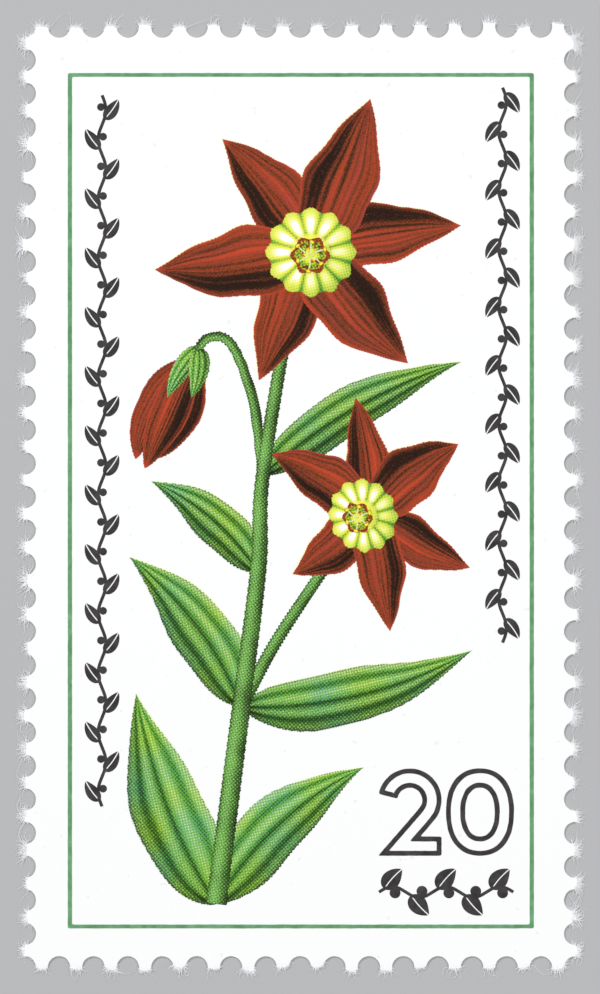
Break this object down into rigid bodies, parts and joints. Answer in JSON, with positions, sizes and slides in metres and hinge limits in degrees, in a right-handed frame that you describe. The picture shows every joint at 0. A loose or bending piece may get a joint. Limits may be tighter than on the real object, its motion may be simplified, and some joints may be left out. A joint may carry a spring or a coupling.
{
  "type": "postage stamp",
  "caption": "Perforated paper postage stamp, face up: gummed back, toothed torn edges, ruled frame, printed flower sprig, vine borders and a plain value numeral.",
  "frame": {"origin": "under the middle of the sheet, on the gummed back that touches what the stamp is stuck to", "axes": "+Z out of the printed face, +Y up the picture, +X to the picture's right"},
  "size_m": [0.0256, 0.0436, 0.0001],
  "materials": {
    "paper": "matte",
    "gum": "gloss",
    "green_ink": "matte",
    "leaf_ink": "matte",
    "petal_ink": "matte",
    "cup_ink": "matte",
    "grey_ink": "matte"
  },
  "bodies": {
    "root": {"gum_layer": "gum", "paper_sheet": "paper", "ink_frame_line": "green_ink", "ink_stem": "leaf_ink", "ink_leaf_foot_left": "leaf_ink", "ink_leaf_foot_right": "leaf_ink", "ink_leaf_middle_left": "leaf_ink", "ink_leaf_middle_right": "leaf_ink", "ink_leaf_top_left": "leaf_ink", "ink_leaf_top_right": "leaf_ink", "ink_bud_calyx": "leaf_ink", "ink_bud_petals": "petal_ink", "ink_upper_petals": "petal_ink", "ink_lower_petals": "petal_ink", "ink_upper_throat": "petal_ink", "ink_lower_throat": "petal_ink", "ink_upper_cup": "cup_ink", "ink_lower_cup": "cup_ink", "ink_vine_left": "grey_ink", "ink_vine_right": "grey_ink", "ink_vine_short": "grey_ink", "ink_value_two": "grey_ink", "ink_value_zero_outer": "grey_ink", "ink_value_zero_inner": "grey_ink"}
  },
  "joints": []
}
